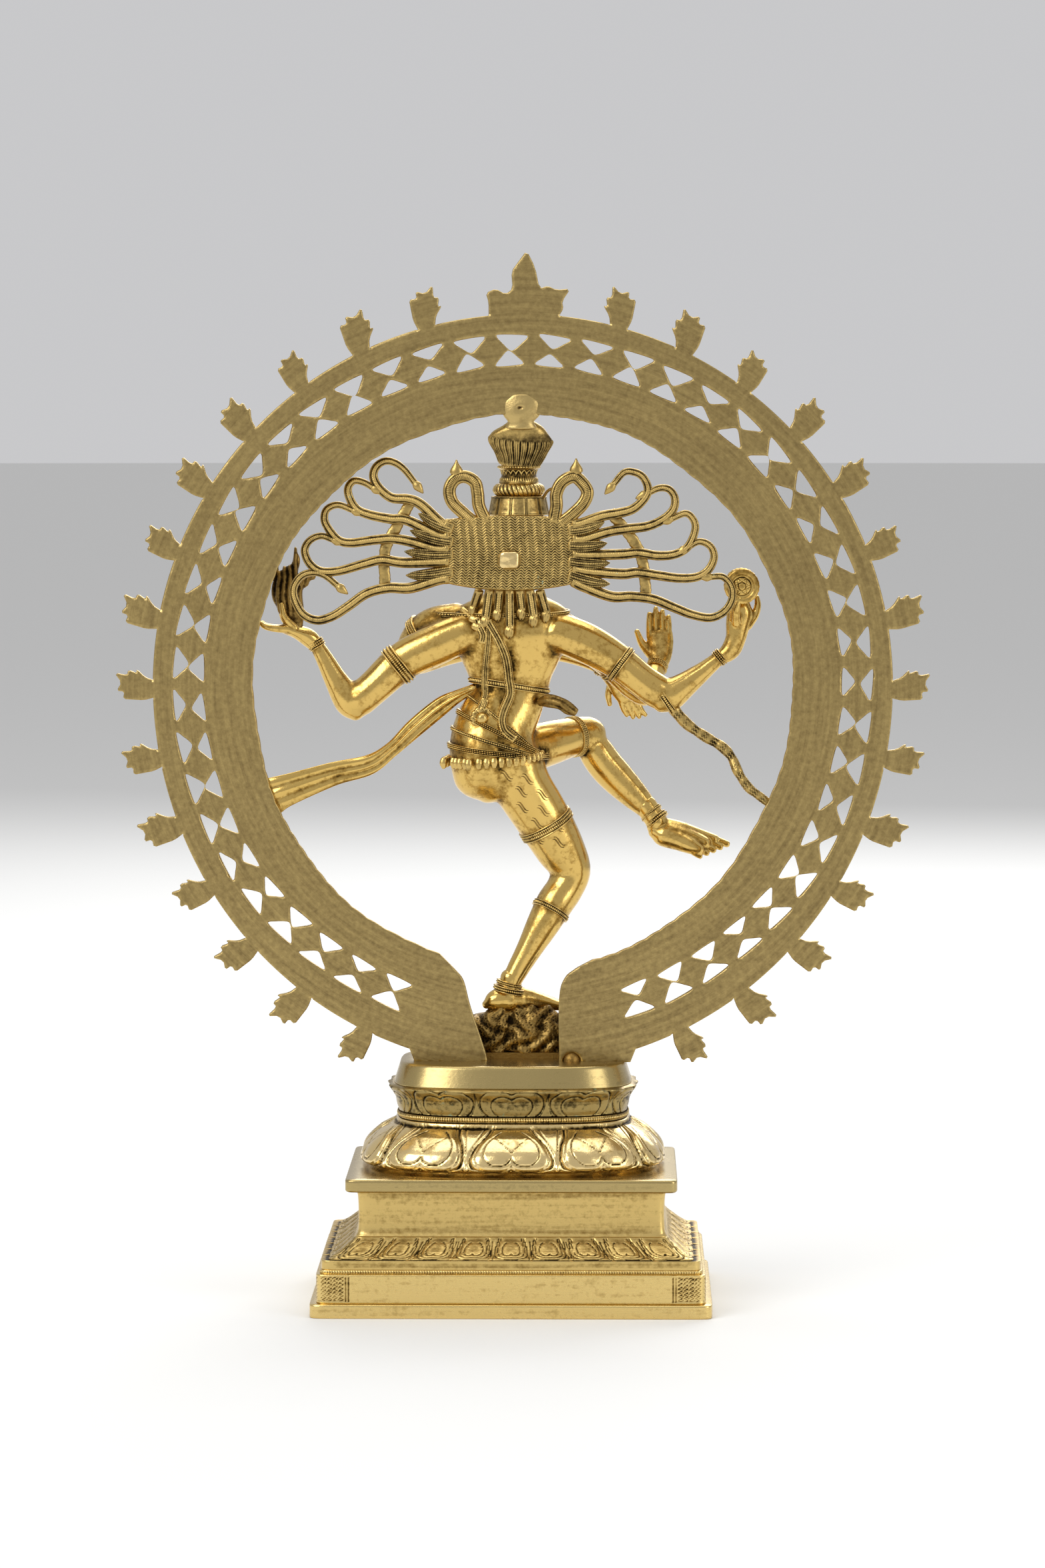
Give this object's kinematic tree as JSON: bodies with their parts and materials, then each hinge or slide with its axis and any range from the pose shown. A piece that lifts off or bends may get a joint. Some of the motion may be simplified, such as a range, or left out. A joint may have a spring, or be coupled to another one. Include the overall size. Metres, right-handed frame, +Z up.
{
  "type": "brass dancing figure statue",
  "caption": "Cast brass dancing figure in a ring of flames on a lotus pedestal, built from brazed, pinned and bolted castings.",
  "frame": {"origin": "bottom centre of the overall box, on the surface the pedestal stands on, under the middle of the ring of flames", "axes": "+Z up, +Y the way the figure faces, +X to the figure's right hand side"},
  "size_m": [0.5808, 0.22, 0.7485],
  "materials": {
    "polished_brass": "hand-polished cast brass, dark in its recesses",
    "aged_brass": "filed and dulled cast brass with brown patina",
    "dark_brass": "rough cast brass with dark patina",
    "steel": "plain hex bolt and washer"
  },
  "bodies": {
    "root": {"foot_plinth": "polished_brass", "chased_band": "polished_brass", "bead_course": "polished_brass", "petal_skirt": "polished_brass", "cornice_slab": "polished_brass", "lower_lotus": "polished_brass", "lotus_neck": "polished_brass", "deck": "polished_brass", "arch_top_tab": "polished_brass", "arch_pin_left": "polished_brass", "arch_pin_right": "polished_brass", "standing_leg": "polished_brass", "raised_leg": "polished_brass", "torso": "polished_brass", "head": "polished_brass", "drum_arm": "polished_brass", "drum_hand": "polished_brass", "drum": "polished_brass", "flame_arm": "polished_brass", "flame_hand": "polished_brass", "blessing_arm": "polished_brass", "blessing_hand": "polished_brass", "pointing_arm": "polished_brass", "pointing_hand": "polished_brass", "hair_tang": "polished_brass", "crown_bulb": "polished_brass", "crown_collar": "polished_brass", "sash": "polished_brass", "dado_box": "aged_brass", "upper_lotus": "aged_brass", "seat_plate": "aged_brass", "arch": "aged_brass", "arch_knob": "aged_brass", "hair_plate": "aged_brass", "crown_band": "aged_brass", "loop_left": "aged_brass", "loop_right": "aged_brass", "hair_brace_left": "aged_brass", "hair_brace_right": "aged_brass", "hair_strands_left": "aged_brass", "hair_strands_right": "aged_brass", "snake": "aged_brass", "dwarf": "dark_brass", "hand_flame": "dark_brass", "crown_fan": "dark_brass", "seat_bolt": "steel", "seat_washer": "steel"}
  },
  "joints": []
}
